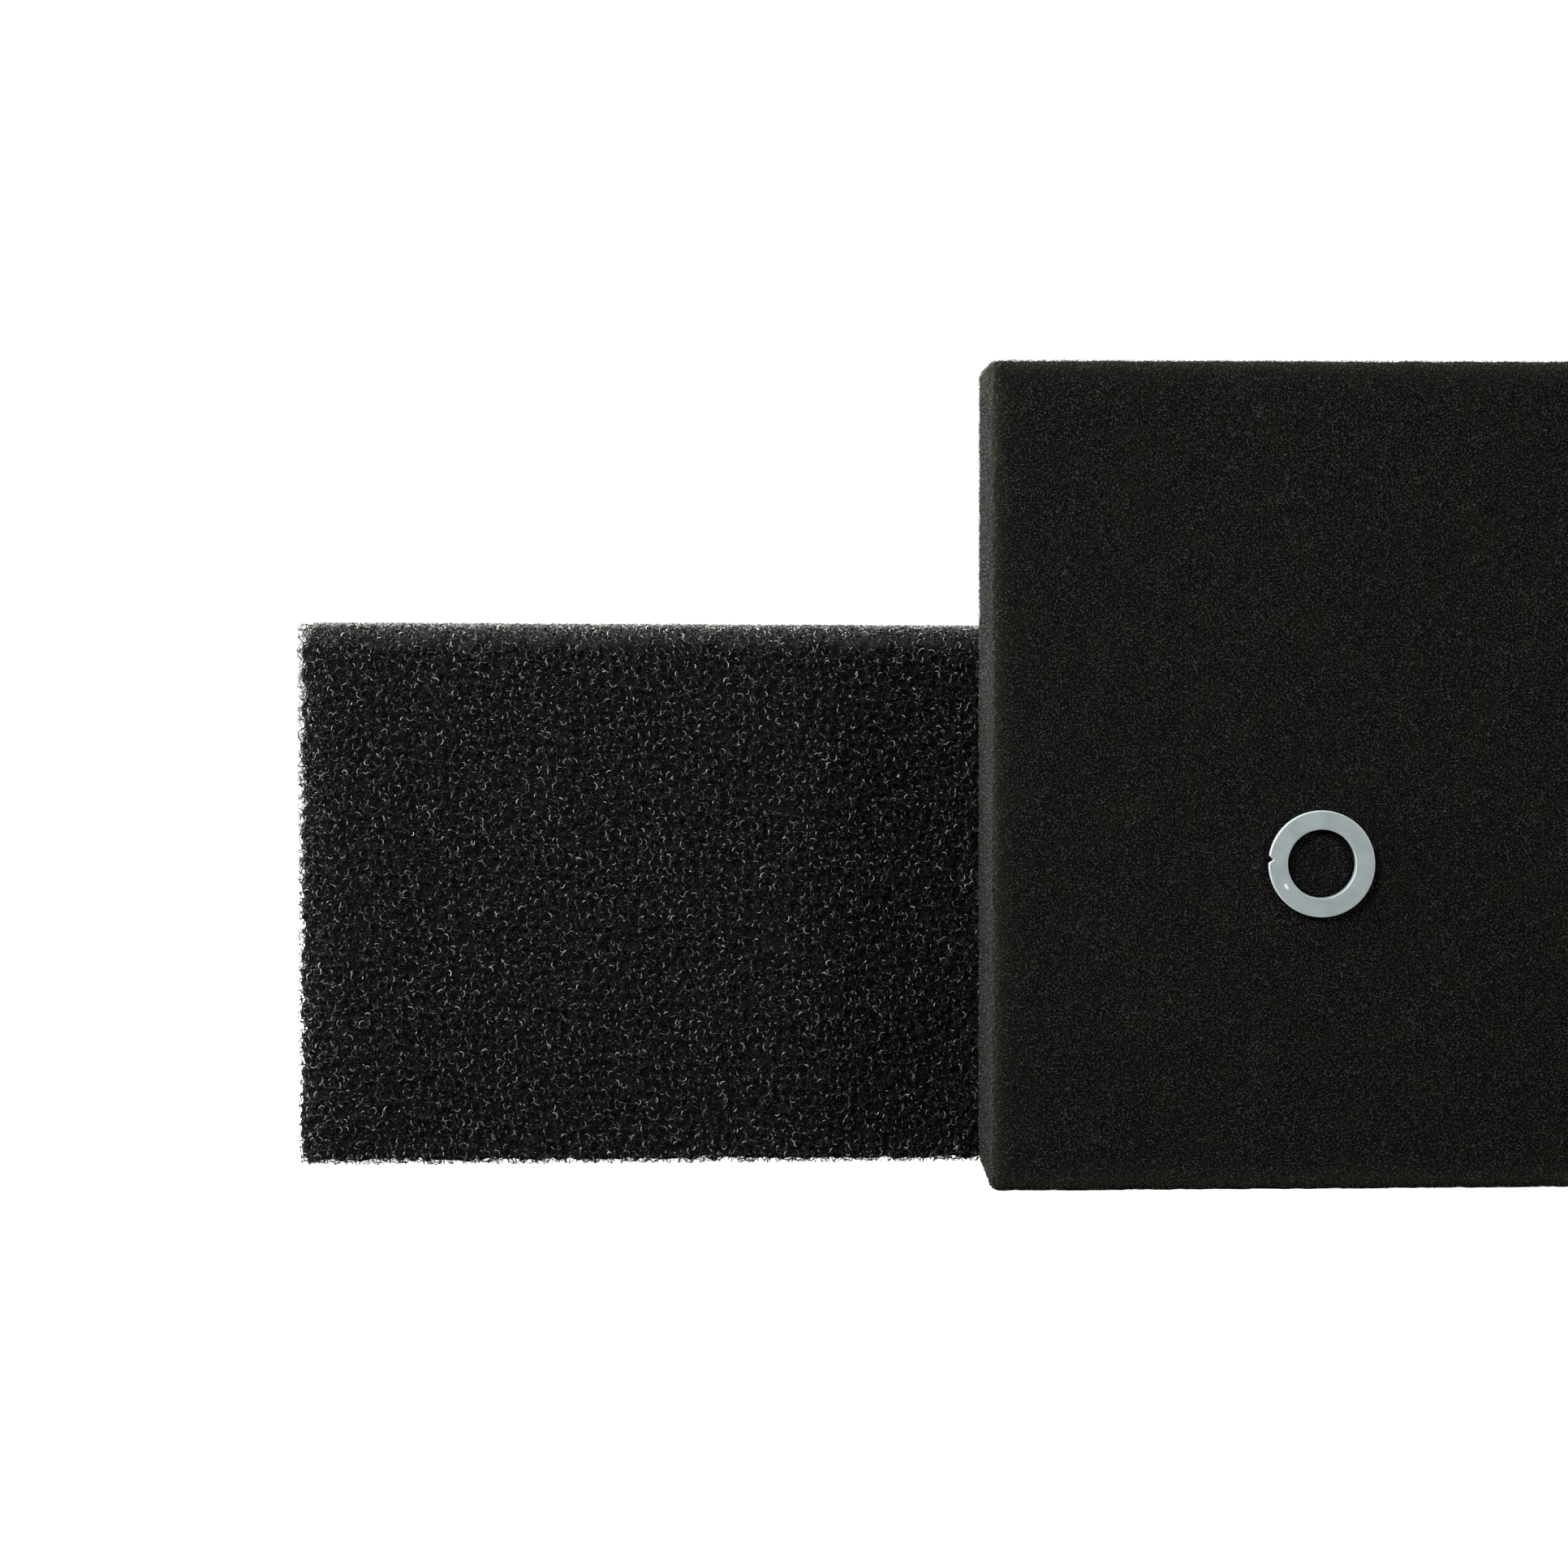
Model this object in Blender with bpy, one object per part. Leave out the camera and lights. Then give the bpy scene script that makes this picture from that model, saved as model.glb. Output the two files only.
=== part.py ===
"""Two stacked pond filter foams and the pipe ring pressed into the front one.

The fine foam stands on its base at the origin and faces -Y. The coarse foam
stands behind it, drawn out towards -X. The ring's flange lies on the fine
foam's front face, and its spigot sits in a round slot cut into the foam.
Units are metres, +Z is up.
"""

import math

import bmesh
import bpy
from mathutils import Matrix, Vector

# --- driving dimensions -----------------------------------------------------

FIT_GAP = 0.0003                # clearance between pieces that touch

FINE_WIDTH = 0.200              # along X
FINE_DEPTH = 0.050              # along Y
FINE_HEIGHT = 0.250             # along Z
FINE_EDGE = 0.0015              # rounding of the fine foam's edges

COARSE_WIDTH = 0.250
COARSE_DEPTH = 0.050
COARSE_HEIGHT = 0.170
COARSE_EDGE = 0.0008
OVERLAP = 0.0364                # width of coarse foam that stands behind the fine foam

PORT_HEIGHT = 0.0985            # ring's centre above the base
PORT_OFFSET = 0.0               # ring's centre from the fine foam's middle, along X
FLANGE_DIAMETER = 0.032
PORT_BORE = 0.0206              # inner diameter of the ring
FLANGE_THICKNESS = 0.0021
FLANGE_EDGE = 0.0004            # rounding of the flange's front edges
SPIGOT_WALL = 0.0013
SPIGOT_LENGTH = 0.008           # how far the spigot reaches into the foam
SPIGOT_LEAD = 0.0004            # chamfer at the spigot's free end

NICK_WIDTH = 0.0024             # V nick in the flange's rim, at its mouth
NICK_DEPTH = 0.0015
NICK_ANGLE = math.radians(175)  # from +X towards +Z, seen from the front

RING_SEGMENTS = 96
EDGE_SEGMENTS = 3


# --- helpers ----------------------------------------------------------------

def clear_scene():
    """Remove every object that the file starts with."""
    for obj in list(bpy.data.objects):
        bpy.data.objects.remove(obj, do_unlink=True)


def make_material(name, color, roughness):
    """A plain Principled material without metal."""
    material = bpy.data.materials.new(name)
    material.use_nodes = True
    shader = material.node_tree.nodes["Principled BSDF"]
    shader.inputs["Base Color"].default_value = (*color, 1.0)
    shader.inputs["Roughness"].default_value = roughness
    shader.inputs["Metallic"].default_value = 0.0
    material.diffuse_color = (*color, 1.0)
    return material


def add_object(name, bm, location, material=None):
    """Put a bmesh into a new scene object at a location."""
    mesh = bpy.data.meshes.new(name)
    bm.to_mesh(mesh)
    bm.free()
    obj = bpy.data.objects.new(name, mesh)
    obj.location = location
    bpy.context.collection.objects.link(obj)
    if material:
        mesh.materials.append(material)
    return obj


def add_cutter(name, bm, location):
    """An object that only cuts others."""
    cutter = add_object(name, bm, location)
    cutter.display_type = "WIRE"
    cutter.hide_render = True
    return cutter


def cut(obj, cutter):
    """Take the cutter's shape out of an object."""
    boolean = obj.modifiers.new("cut", "BOOLEAN")
    boolean.operation = "DIFFERENCE"
    boolean.solver = "EXACT"
    boolean.object = cutter


def block(width, depth, height, edge):
    """A box standing on its base centre, with rounded edges."""
    bm = bmesh.new()
    bmesh.ops.create_cube(bm, size=1.0)
    bmesh.ops.scale(bm, vec=(width, depth, height), verts=bm.verts)
    bmesh.ops.translate(bm, vec=(0.0, 0.0, height / 2), verts=bm.verts)
    bmesh.ops.bevel(
        bm, geom=bm.edges[:], offset=edge, segments=EDGE_SEGMENTS, profile=0.5, affect="EDGES"
    )
    return bm


def turned(profile):
    """A closed outline of (radius, y) points turned once around the Y axis."""
    bm = bmesh.new()
    verts = [bm.verts.new((radius, y, 0.0)) for radius, y in profile]
    edges = [bm.edges.new((a, b)) for a, b in zip(verts, verts[1:] + verts[:1])]
    bmesh.ops.spin(
        bm,
        geom=verts + edges,
        cent=(0.0, 0.0, 0.0),
        axis=(0.0, 1.0, 0.0),
        angle=2 * math.pi,
        steps=RING_SEGMENTS,
        use_merge=True,
    )
    bmesh.ops.recalc_face_normals(bm, faces=bm.faces)
    return bm


def rounded_corner(radius, y, size, turn_from):
    """Points of a quarter round that replaces the outline's corner at (radius, y)."""
    inward = -1 if turn_from == "inner" else 1
    centre = Vector((radius - inward * size, y + size))
    steps = range(EDGE_SEGMENTS + 1)
    angles = [math.pi / 2 * step / EDGE_SEGMENTS for step in steps]
    points = [
        (centre.x + inward * size * math.sin(angle), centre.y - size * math.cos(angle))
        for angle in angles
    ]
    return points if turn_from == "outer" else points[::-1]


# --- pieces -----------------------------------------------------------------

def port_centre():
    """Where the ring's axis meets the fine foam's front face."""
    return Vector((PORT_OFFSET, -FINE_DEPTH / 2, PORT_HEIGHT))


def make_fine_sponge():
    """The fine foam, with the round slot that the ring's spigot is pressed into."""
    material = make_material("fine_foam", (0.010, 0.010, 0.010), 0.95)
    sponge = add_object(
        "fine_sponge", block(FINE_WIDTH, FINE_DEPTH, FINE_HEIGHT, FINE_EDGE), (0.0, 0.0, 0.0), material
    )
    inner = PORT_BORE / 2 - FIT_GAP
    outer = PORT_BORE / 2 + SPIGOT_WALL + FIT_GAP
    bottom = SPIGOT_LENGTH + FIT_GAP
    mouth = -FLANGE_THICKNESS
    slot = turned([(inner, mouth), (outer, mouth), (outer, bottom), (inner, bottom)])
    cut(sponge, add_cutter("slot_cutter", slot, port_centre()))
    return sponge


def make_coarse_sponge():
    """The coarse foam, standing behind the fine foam's left part."""
    material = make_material("coarse_foam", (0.012, 0.012, 0.012), 0.55)
    middle_x = -FINE_WIDTH / 2 + OVERLAP - COARSE_WIDTH / 2
    middle_y = FINE_DEPTH / 2 + FIT_GAP + COARSE_DEPTH / 2
    return add_object(
        "coarse_sponge",
        block(COARSE_WIDTH, COARSE_DEPTH, COARSE_HEIGHT, COARSE_EDGE),
        (middle_x, middle_y, 0.0),
        material,
    )


def ring_profile():
    """Outline of the ring's section: a flange in front and a spigot behind it."""
    inner = PORT_BORE / 2
    spigot = inner + SPIGOT_WALL
    rim = FLANGE_DIAMETER / 2
    back = -FIT_GAP
    front = back - FLANGE_THICKNESS
    end = SPIGOT_LENGTH
    return [
        *rounded_corner(inner, front, FLANGE_EDGE, "inner"),
        *rounded_corner(rim, front, FLANGE_EDGE, "outer"),
        (rim, back),
        (spigot, back),
        (spigot, end - SPIGOT_LEAD),
        (spigot - SPIGOT_LEAD, end),
        (inner, end),
    ]


def nick_prism():
    """A three-sided prism along Y whose edge points at the ring's axis."""
    rim = FLANGE_DIAMETER / 2
    beyond = rim + NICK_DEPTH
    half = NICK_WIDTH * (beyond - rim + NICK_DEPTH) / (2 * NICK_DEPTH)
    section = [(rim - NICK_DEPTH, 0.0), (beyond, half), (beyond, -half)]
    bm = bmesh.new()
    front = -2 * FLANGE_THICKNESS
    verts = [bm.verts.new((x, front, z)) for x, z in section]
    face = bm.faces.new(verts)
    side = bmesh.ops.extrude_face_region(bm, geom=[face])["geom"]
    moved = [v for v in side if isinstance(v, bmesh.types.BMVert)]
    bmesh.ops.translate(bm, vec=(0.0, -2 * front, 0.0), verts=moved)
    bmesh.ops.recalc_face_normals(bm, faces=bm.faces)
    bmesh.ops.rotate(bm, cent=(0, 0, 0), matrix=Matrix.Rotation(-NICK_ANGLE, 3, "Y"), verts=bm.verts)
    return bm


def make_port_ring():
    """The moulded ring: flange, spigot and the gate nick in the flange's rim."""
    material = make_material("ring_plastic", (0.34, 0.39, 0.40), 0.4)
    ring = add_object("port_ring", turned(ring_profile()), port_centre(), material)
    cut(ring, add_cutter("nick_cutter", nick_prism(), port_centre()))
    ring.data.shade_smooth()
    ring.data.set_sharp_from_angle(angle=math.radians(35))
    return ring


def main():
    clear_scene()
    make_fine_sponge()
    make_coarse_sponge()
    make_port_ring()


if __name__ == "__main__":
    main()
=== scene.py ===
"""Two pond filter foams and their pipe ring, in a white studio.

The coarse foam is a network of real strands and the bent rims of its cut
pores around a dark middle. The fine foam is a pitted block under a skin of
strands, with loose ones along its edges, and the ring is turned from one
outline. All sizes are in metres.
"""

import math

import bpy
import numpy as np
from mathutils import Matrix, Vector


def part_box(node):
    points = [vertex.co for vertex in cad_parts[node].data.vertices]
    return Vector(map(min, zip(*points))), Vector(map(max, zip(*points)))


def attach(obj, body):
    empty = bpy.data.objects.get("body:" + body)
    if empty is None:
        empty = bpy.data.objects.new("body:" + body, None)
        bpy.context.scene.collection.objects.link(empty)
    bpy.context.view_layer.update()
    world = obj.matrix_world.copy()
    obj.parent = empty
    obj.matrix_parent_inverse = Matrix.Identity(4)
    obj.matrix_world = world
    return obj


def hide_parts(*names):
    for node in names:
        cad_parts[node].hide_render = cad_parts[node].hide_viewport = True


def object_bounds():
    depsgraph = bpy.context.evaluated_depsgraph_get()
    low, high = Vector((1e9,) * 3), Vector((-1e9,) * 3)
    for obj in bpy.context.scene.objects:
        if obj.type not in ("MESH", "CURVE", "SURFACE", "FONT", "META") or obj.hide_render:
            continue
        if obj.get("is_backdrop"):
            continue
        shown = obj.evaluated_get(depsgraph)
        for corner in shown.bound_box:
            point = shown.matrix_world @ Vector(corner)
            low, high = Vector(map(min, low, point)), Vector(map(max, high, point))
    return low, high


bl_info = {
    "name": "Pond Filter Foam",
    "version": (1, 0, 0),
    "blender": (4, 5, 0),
    "location": "View3D > Sidebar > Filter Foam",
    "description": "Builds a coarse and a fine filter foam with a pipe ring",
    "category": "Add Mesh",
}

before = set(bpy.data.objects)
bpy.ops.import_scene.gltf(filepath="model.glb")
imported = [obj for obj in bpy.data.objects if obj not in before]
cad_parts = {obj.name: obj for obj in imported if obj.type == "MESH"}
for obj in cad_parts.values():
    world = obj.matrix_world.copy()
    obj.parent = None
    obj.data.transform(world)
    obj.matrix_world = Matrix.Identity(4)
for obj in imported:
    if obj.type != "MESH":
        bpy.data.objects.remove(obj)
CAD_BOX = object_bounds()

MM = 0.001
MOST_TRIANGLES = 196000         # in one piece
WELD = 0.001 * MM               # points closer than this are one point
LATTICE = 32                    # steps after which soft noise repeats
LIT_EDGE_REACH = 4.5 * MM           # how far the painted light on the foams' edges reaches

# Both foams' strands.
NEAR_CELLS = 26                 # neighbours that can share a corner with a cell
CELLS_AT_ONCE = 48              # cells worked out together
STRAND_POINTS = 4               # a strand has as many faces
STRANDS_PER_PIECE = MOST_TRIANGLES // STRAND_POINTS
SHORTEST_STRAND = 0.15          # share of a cell under which a strand is left out
UNEQUAL = (0.7, 1.3)            # least and greatest share of the mean width of a strand or rim
HIGHLIGHT_SHADE_DEPTH = 1.8 * MM           # depth over which the strands' painted highlight gives way to painted shade
TONE_SPAN = 0.35                # how much of the noise runs from black to pale
TONES = (0.3, 1.0)              # least and greatest share of its group's tone in a strand

# The coarse foam.
COARSE_BLOCK = (14, 4, 12)      # cells in the block that repeats
COARSE_MARGIN = 0.05            # how far past the slab it repeats, as a share of its least side
COARSE_DRIFT = (28 * MM, 1.4 * MM)  # width and reach of the drift that hides the repeats
FULL_FRONT = 7.0 * MM           # every strand stays in the open edges this near the front
FULL_BACK = 3.0 * MM            # and this near the back
SIDE_SHARE = 0.45               # of the strands between those that stay
CORE_SPACING = 0.5              # between the core's points, as a share of a cell
CORE_ROUNDING = 1.0 * MM
CORE_PIT = 0.3 * MM             # mean depth of the pits in the core
CORE_PIT_WIDTH = 0.7            # as a share of a cell
THIN_REACH = 5.0 * MM           # the core is thinner this near its top
THIN_EDGE = 0.12                # its depth at the very top, as a share
NOTCH_LEAST = 0.12              # least depth of a notch in the core's edges, as a share
NOTCH_POWER = 1.6               # the higher, the rarer are deep notches
NOTCH_CLING = 9                 # the higher, the nearer do notches keep to the edges
RIM_STEPS = 5                   # straight lengths in a pore's rim
ROD_POINTS = 3 * (RIM_STEPS + 1)
ROD_FACES = 6 * RIM_STEPS + 2
ROD_TIP = 0.35                  # thickness of a rim's tips, as a share
RIM_STRAY = 0.35                # how far a rim strays from its grid, as a share of the spacing
RIM_SIZES = (0.75, 1.3)         # smallest and largest rim, as a share of the mean radius
RIM_DEPTHS = (0.1, 0.9)         # shallowest and deepest rim, as a share of the mean radius
RIM_SPANS = (0.8, 3.0)          # shortest and longest rim in radians
RIM_TILT = 0.45                 # spread of a rim's tilt out of the face
RIM_TURN = 0.7                  # spread in radians of a rim's turn from its pore's side
RIM_POWER = 1.6                 # the higher, the rarer are pale rims, which are painted highlights

# The fine foam.
FINE_BLOCK = (10, 10, 10)       # pores in the block that repeats
FINE_DRIFT = (9 * MM, 0.7 * MM)     # width and reach of the drift that hides the repeats
FINE_RAGGED = 0.22 * MM         # how unevenly the blade cut the strands
LONGEST_STRAND = 0.6            # share of a pore over which a strand is left out
FRINGE = 1.1 * MM               # how wide the loose strands along the edges are
SUNK = 0.8                      # depth of the block under the slab's faces, as a share of the skin
LUMP = (7 * MM, 0.25 * MM)      # width and height of the block's soft lumps
PIT_WIDTH = 1.6                 # of the pits in the block, as a share of a pore
SLOT_ROOM = 0.3 * MM            # between the ring's end and the floor of its slot

# The ring.
RING_SOFT = 0.3 * MM            # rounding of its back edges
RING_ROOT = 0.15 * MM           # and of the corner between its flange and spigot
BORE_SOFT = 0.8                 # rounding of its bore's front edge, as a share of the rim's

# What each step adds to its foam's seed, so that it has random draws of its own.
SEED_STEPS = {
    "lumps": 1, "pits": 2, "fine_drift": 5, "core_pits": 7, "tones": 20,
    "fine_strands": 50, "coarse_strands": 100, "rims": 200, "core_edges": 300,
}

# The body that a foam's pieces ride on, and their slot.
COARSE_HOME = "coarse_body", "coarse_foam"
FINE_HOME = "fine_body", "fine_foam"

# The coarse foam's faces: name, axis, and whether it is at the axis's high end.
FACES = (
    ("front", 1, False), ("back", 1, True), ("outer_end", 0, False), ("inner_end", 0, True),
    ("top", 2, True), ("base", 2, False),
)


# --- settings ---------------------------------------------------------------

class CoarseFoamSettings(bpy.types.PropertyGroup):
    """Sizes and colours of the coarse foam."""

    cell: bpy.props.FloatProperty(
        name="Cell", description="Width of one foam cell", default=2.8 * MM, unit="LENGTH")
    disorder: bpy.props.FloatProperty(
        name="Disorder", description="How far cells stray from a regular stack", default=0.33)
    strand: bpy.props.FloatProperty(
        name="Strand", description="Width of a strand where it widens", default=0.42 * MM,
        unit="LENGTH")
    front_depth: bpy.props.FloatProperty(
        name="Front depth", description="Open depth behind the front face", default=3.0 * MM,
        unit="LENGTH")
    back_depth: bpy.props.FloatProperty(
        name="Back depth", description="Open depth behind the back face", default=1.5 * MM,
        unit="LENGTH")
    outer_depth: bpy.props.FloatProperty(
        name="Outer end depth", description="Open depth behind the free end", default=2.8 * MM,
        unit="LENGTH")
    inner_depth: bpy.props.FloatProperty(
        name="Inner end depth", description="Open depth behind the end by the fine foam",
        default=1.4 * MM, unit="LENGTH")
    top_depth: bpy.props.FloatProperty(
        name="Top depth", description="Open depth under the top face", default=5.0 * MM,
        unit="LENGTH")
    base_depth: bpy.props.FloatProperty(
        name="Base depth", description="Open depth over the base", default=1.6 * MM, unit="LENGTH")
    raggedness: bpy.props.FloatProperty(
        name="Raggedness", description="How unevenly the blade cut the strands", default=0.35 * MM,
        unit="LENGTH")
    color: bpy.props.FloatVectorProperty(
        name="Colour", description="Colour of the strands", default=(0.0055, 0.0055, 0.0056),
        subtype="COLOR", size=3)
    # Painted highlights: the paler strands stand in for glints on the strands.
    glint_color: bpy.props.FloatVectorProperty(
        name="Worn colour", description="Colour of the paler strands",
        default=(0.012, 0.012, 0.0118), subtype="COLOR", size=3)
    # Painted light: the slab's edges are paler and olive grey, where light falls in from around
    # them.
    lit_edge_color: bpy.props.FloatVectorProperty(
        name="Edge colour", description="Colour of the frayed edges", default=(0.045, 0.047, 0.038),
        subtype="COLOR", size=3)
    rarity: bpy.props.FloatProperty(
        name="Rarity", description="The higher, the fewer pale strands", default=0.15)
    patch: bpy.props.FloatProperty(
        name="Patch", description="Width of a group of pale strands", default=0.9 * MM,
        unit="LENGTH")
    rim_spacing: bpy.props.FloatProperty(
        name="Rim spacing", description="Distance between the pore rims that catch the light",
        default=2.4 * MM, unit="LENGTH")
    rim_radius: bpy.props.FloatProperty(
        name="Rim radius", description="Mean radius of a pore's rim", default=0.95 * MM,
        unit="LENGTH")
    rim_width: bpy.props.FloatProperty(
        name="Rim width", description="Thickness of a pore's rim", default=0.25 * MM, unit="LENGTH")
    # Painted highlights: the palest rims stand in for light caught by the pores' rims.
    rim_color: bpy.props.FloatVectorProperty(
        name="Rim colour", description="Colour of the palest pore rims",
        default=(0.27, 0.27, 0.265), subtype="COLOR", size=3)
    # Painted highlights and painted light: the palest rims are paler still near the slab's edges.
    lit_edge_rim_color: bpy.props.FloatVectorProperty(
        name="Rim edge colour", description="Colour of the palest pore rims at the slab's edges",
        default=(0.50, 0.51, 0.42), subtype="COLOR", size=3)
    core_color: bpy.props.FloatVectorProperty(
        name="Core colour", description="Colour of the foam's depth",
        default=(0.0085, 0.0085, 0.0082), subtype="COLOR", size=3)
    slant: bpy.props.FloatProperty(
        name="Slant", description="How much lower the top is cut at the inner end",
        default=1.3 * MM, unit="LENGTH")
    seed: bpy.props.IntProperty(name="Seed", description="Start of the random draws", default=4)


class FineFoamSettings(bpy.types.PropertyGroup):
    """Sizes and colours of the fine foam."""

    pore: bpy.props.FloatProperty(
        name="Pore", description="Width of one pore", default=1.2 * MM, unit="LENGTH")
    disorder: bpy.props.FloatProperty(
        name="Disorder", description="How far pores stray from a regular stack", default=0.33)
    grid: bpy.props.FloatProperty(
        name="Grid", description="Spacing of the points of the dark block under the strands",
        default=1.6 * MM, unit="LENGTH")
    rounding: bpy.props.FloatProperty(
        name="Rounding", description="Radius of the soft edges", default=3.0 * MM, unit="LENGTH")
    worn_rounding: bpy.props.FloatProperty(
        name="Worn rounding", description="Radius of the four worn corners, seen from the front",
        default=3.3 * MM, unit="LENGTH")
    skin: bpy.props.FloatProperty(
        name="Skin", description="Depth of the open strands over the block", default=0.32 * MM,
        unit="LENGTH")
    share: bpy.props.FloatProperty(
        name="Share", description="Share of the strands that stand proud", default=0.7)
    back_share: bpy.props.FloatProperty(
        name="Back share", description="Share of them on the back face", default=0.35)
    roughness: bpy.props.FloatProperty(
        name="Roughness", description="Depth of the pits in the block", default=0.35 * MM,
        unit="LENGTH")
    strand: bpy.props.FloatProperty(
        name="Strand", description="Width of a strand where it widens", default=0.22 * MM,
        unit="LENGTH")
    slot_inner: bpy.props.FloatProperty(
        name="Slot inside", description="Inner radius of the slot for the pipe ring",
        default=10.0 * MM, unit="LENGTH")
    slot_outer: bpy.props.FloatProperty(
        name="Slot outside", description="Outer radius of the slot for the pipe ring",
        default=11.9 * MM, unit="LENGTH")
    color: bpy.props.FloatVectorProperty(
        name="Colour", description="Colour of the open pores", default=(0.0034, 0.0034, 0.0036),
        subtype="COLOR", size=3)
    # Painted highlights: the paler cut strands stand in for glints on the strands.
    strand_glint_color: bpy.props.FloatVectorProperty(
        name="Strand colour", description="Colour of the cut strands",
        default=(0.0500, 0.0500, 0.0490), subtype="COLOR", size=3)
    # Painted light: the block's edges are paler and olive grey, where light falls in from around
    # them.
    lit_edge_color: bpy.props.FloatVectorProperty(
        name="Edge colour", description="Colour of the frayed edges",
        default=(0.034, 0.0362, 0.0225), subtype="COLOR", size=3)
    # Painted highlights: pale flecks on the block stand in for glints on the strands under the cut
    # ones.
    core_color: bpy.props.FloatVectorProperty(
        name="Core colour", description="Colour of the strands under the cut ones",
        default=(0.042, 0.042, 0.042), subtype="COLOR", size=3)
    tint: bpy.props.FloatVectorProperty(
        name="Tint", description="Colour of the pores in olive patches",
        default=(0.0044, 0.0044, 0.0026), subtype="COLOR", size=3)
    rarity: bpy.props.FloatProperty(
        name="Rarity", description="The higher, the fewer pale strands", default=0.12)
    patch: bpy.props.FloatProperty(
        name="Patch", description="Width of a group of pale strands", default=0.35 * MM,
        unit="LENGTH")
    seed: bpy.props.IntProperty(name="Seed", description="Start of the random draws", default=11)


class RingSettings(bpy.types.PropertyGroup):
    """Sizes and colours of the ring."""

    segments: bpy.props.IntProperty(
        name="Segments", description="Faces around the ring", default=320)
    bore: bpy.props.FloatProperty(
        name="Bore", description="Inner diameter", default=20.6 * MM, unit="LENGTH")
    flange: bpy.props.FloatProperty(
        name="Flange", description="Thickness of the flange", default=2.1 * MM, unit="LENGTH")
    wall: bpy.props.FloatProperty(
        name="Wall", description="Wall of the spigot", default=1.3 * MM, unit="LENGTH")
    edge: bpy.props.FloatProperty(
        name="Edge", description="Rounding of the front edges", default=0.32 * MM, unit="LENGTH")
    nick_width: bpy.props.FloatProperty(
        name="Nick width", description="Width of the nick in the rim", default=2.4 * MM,
        unit="LENGTH")
    nick_depth: bpy.props.FloatProperty(
        name="Nick depth", description="Depth of the nick in the rim", default=1.5 * MM,
        unit="LENGTH")
    nick_angle: bpy.props.FloatProperty(
        name="Nick angle", description="Place of the nick, from +X towards +Z",
        default=math.radians(175), subtype="ANGLE")
    color: bpy.props.FloatVectorProperty(
        name="Colour", description="Colour of the plastic", default=(0.27, 0.315, 0.32),
        subtype="COLOR", size=3)
    # Painted highlights: the thin pale edges stand in for light caught by the rounded edges.
    rim_color: bpy.props.FloatVectorProperty(
        name="Rim colour", description="Colour of the thin pale edges", default=(0.45, 0.49, 0.49),
        subtype="COLOR", size=3)
    roughness: bpy.props.FloatProperty(
        name="Roughness", description="Dullness of the plastic", default=0.42)


class StageSettings(bpy.types.PropertyGroup):
    """The camera, floor and lights."""

    lens: bpy.props.FloatProperty(name="Lens", description="Focal length in mm", default=71.28)
    camera_place: bpy.props.FloatVectorProperty(
        name="Camera place", description="Where the camera stands",
        default=(-0.1661, -0.9527, 0.1823), subtype="TRANSLATION", size=3)
    camera_turn: bpy.props.FloatProperty(
        name="Camera turn", description="Turn of the level camera towards +X",
        default=math.radians(2.0), subtype="ANGLE")
    shift: bpy.props.FloatVectorProperty(
        name="Lens shift", description="Sideways and upward shift of the picture",
        default=(-0.0588, -0.1272), size=2)
    floor_size: bpy.props.FloatProperty(
        name="Floor", description="Width of the floor", default=8.0, unit="LENGTH")


# --- shader nodes -----------------------------------------------------------

class Wire:
    """A shader socket that makes Math nodes when it is used in an expression."""

    def __init__(self, finish, socket):
        self.finish = finish
        self.socket = socket

    def maths(self, operation, *values):
        """The result of one Math node on these values."""
        sockets = dict(enumerate(values))
        return self.finish.node("ShaderNodeMath", {"operation": operation}, sockets)

    def __add__(self, other):
        return self.maths("ADD", self, other)

    def __radd__(self, other):
        return self.maths("ADD", other, self)

    def __sub__(self, other):
        return self.maths("SUBTRACT", self, other)

    def __rsub__(self, other):
        return self.maths("SUBTRACT", other, self)

    def __mul__(self, other):
        return self.maths("MULTIPLY", self, other)

    def __rmul__(self, other):
        return self.maths("MULTIPLY", other, self)

    def __truediv__(self, other):
        return self.maths("DIVIDE", self, other)

    def __rtruediv__(self, other):
        return self.maths("DIVIDE", other, self)

    def __pow__(self, other):
        return self.maths("POWER", self, other)

    def __rpow__(self, other):
        return self.maths("POWER", other, self)

    def above(self, limit, softness):
        """0 below limit, 1 above limit + softness, and a smooth step between."""
        settings = {"interpolation_type": "SMOOTHSTEP"}
        sockets = {"Value": self, "From Min": limit, "From Max": limit + softness}
        return self.finish.node("ShaderNodeMapRange", settings, sockets)


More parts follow.
